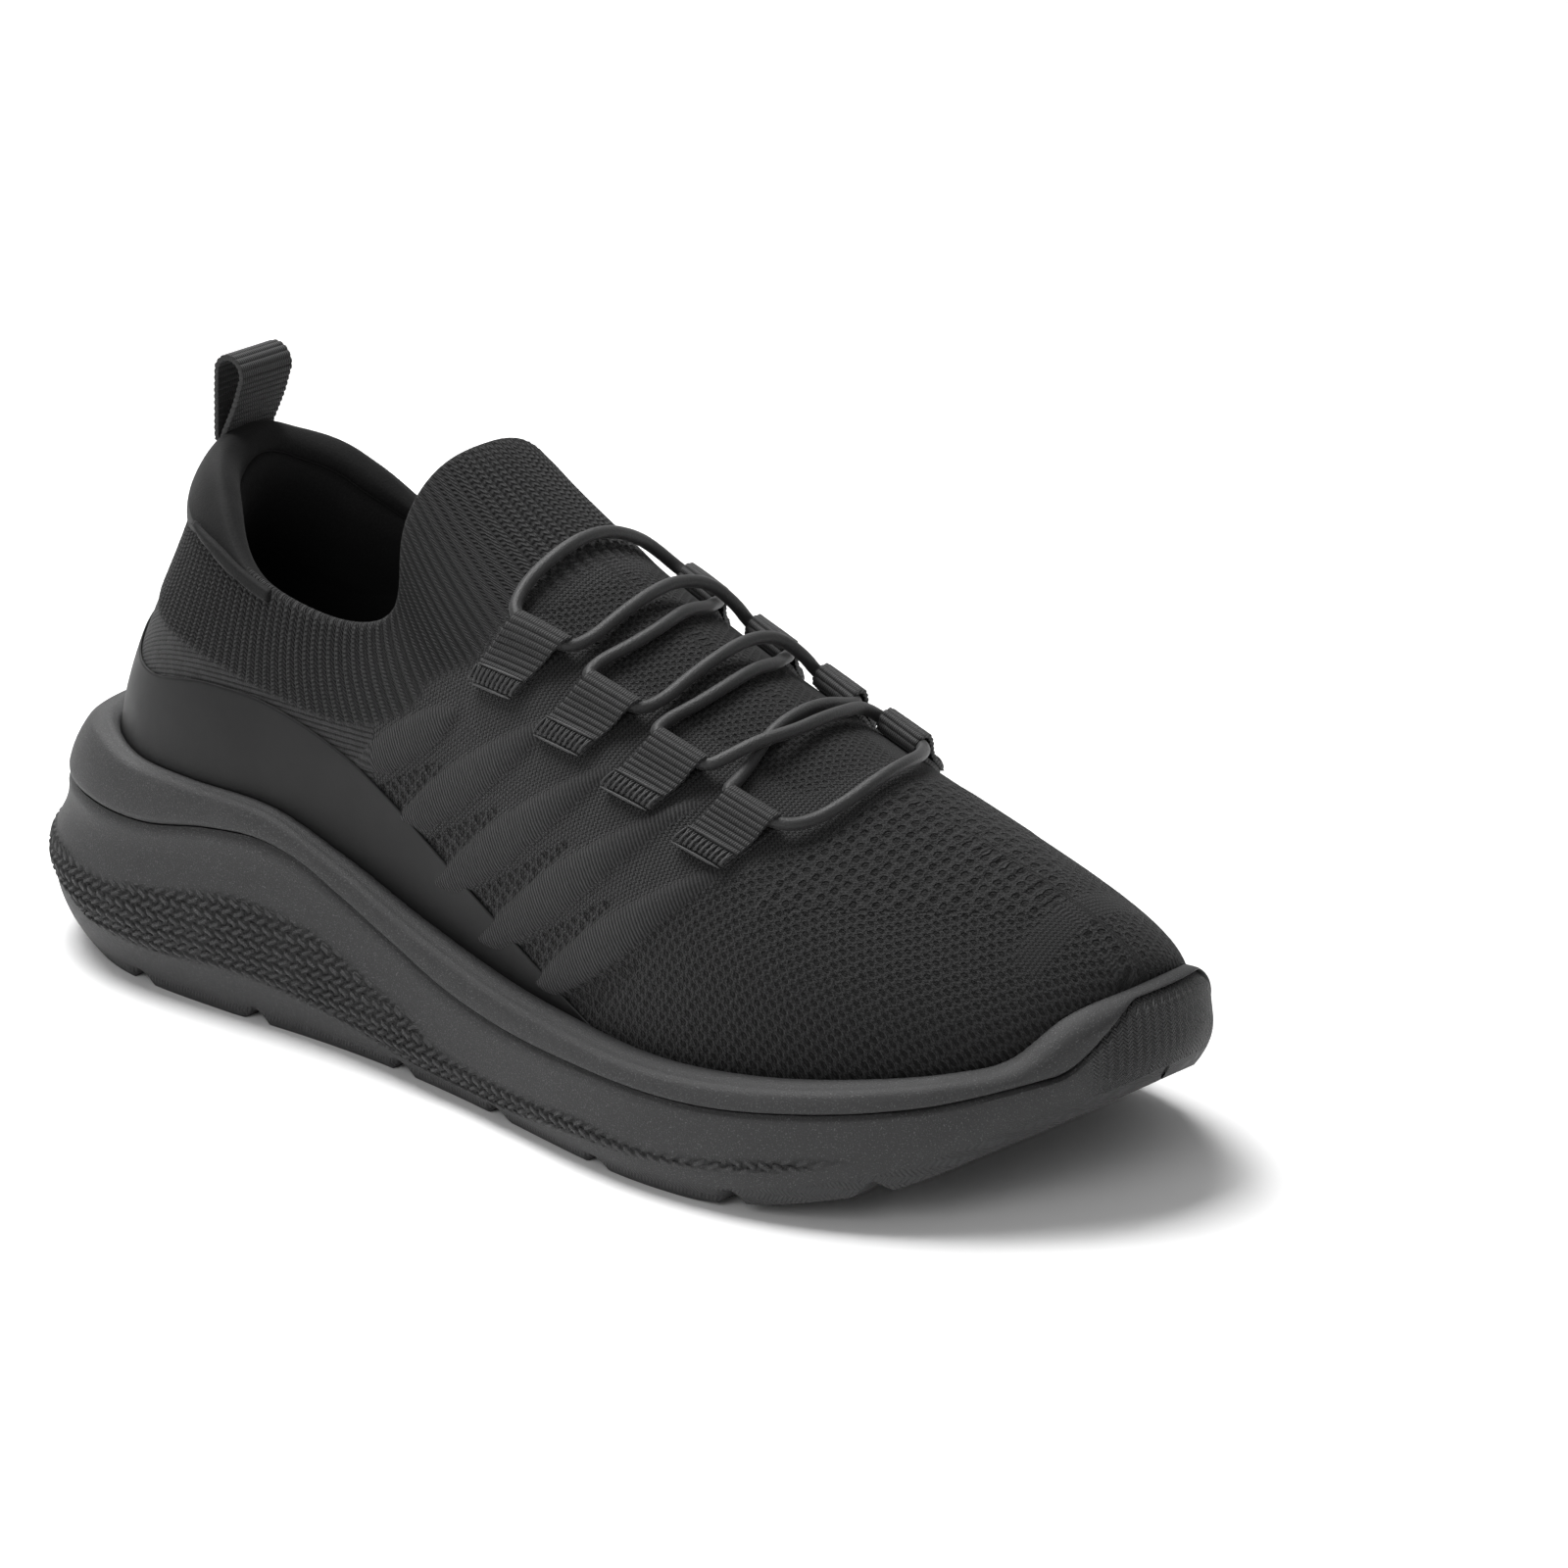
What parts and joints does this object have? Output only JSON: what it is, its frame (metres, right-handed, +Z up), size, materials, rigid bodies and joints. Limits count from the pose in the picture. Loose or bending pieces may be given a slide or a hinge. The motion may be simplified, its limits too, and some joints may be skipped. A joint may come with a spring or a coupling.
{
  "type": "running shoe",
  "caption": "Slip-on running shoe with a knitted bootie upper, elastic lacing through webbing loops, a heel pull loop and a moulded foam sole.",
  "frame": {"origin": "on the ground under the middle of the shoe's box", "axes": "+X towards the toe, +Y to the medial side of this right shoe, +Z up"},
  "size_m": [0.2901, 0.116, 0.1335],
  "materials": {
    "outsole_rubber": "matte moulded rubber with a fine texture",
    "midsole_foam": "moulded foam, satin skin",
    "strobel_felt": "stitched board",
    "insole_fabric": "brushed fabric on foam",
    "knit": "engineered knit, ribbed and pierced",
    "stiffener": "moulded sheet",
    "foam": "open-cell foam",
    "lining_jersey": "smooth jersey",
    "film": "satin welded film",
    "webbing": "ribbed woven webbing",
    "thread": "polyester thread",
    "elastic_cord": "braided elastic cord"
  },
  "bodies": {
    "rearfoot": {"outsole_heel": "outsole_rubber", "outsole_shank": "outsole_rubber", "outsole_ball": "outsole_rubber", "midsole_rear": "midsole_foam", "rim_rear": "midsole_foam", "strobel_board_rear": "strobel_felt", "insole_rear": "insole_fabric", "knit_upper_rear": "knit", "vamp_flex": "knit", "heel_counter": "stiffener", "collar_foam": "foam", "collar_lining": "lining_jersey", "heel_film_overlay": "film", "heel_pull_anchor": "webbing", "bar_tacks": "thread", "lace_loop_lateral_1": "webbing", "lace_loop_lateral_2": "webbing", "lace_loop_lateral_3": "webbing", "lace_loop_lateral_4": "webbing", "lace_loop_medial_1": "webbing", "lace_loop_medial_2": "webbing", "lace_loop_medial_3": "webbing", "lace_loop_medial_4": "webbing", "elastic_lace": "elastic_cord"},
    "forefoot": {"outsole_toe": "outsole_rubber", "midsole_forefoot": "midsole_foam", "rim_forefoot": "midsole_foam", "toe_bumper": "outsole_rubber", "strobel_board_forefoot": "strobel_felt", "insole_forefoot": "insole_fabric", "knit_toe": "knit", "toe_puff": "stiffener"},
    "heel_loop": {"heel_pull_loop": "webbing"}
  },
  "joints": [
    {"name": "toe_flex", "type": "hinge", "parent": "rearfoot", "child": "forefoot", "pos_m": [0.072, 0, 0.028], "axis": [0, -1, 0], "range_deg": [0, 30], "stiffness_Nm_per_rad": 6, "deforming": ["vamp_flex"]},
    {"name": "heel_loop_fold", "type": "hinge", "parent": "rearfoot", "child": "heel_loop", "pos_m": [-0.102, 0, 0.1157], "axis": [0, 1, 0], "range_deg": [-80, 60], "stiffness_Nm_per_rad": 0.01}
  ]
}
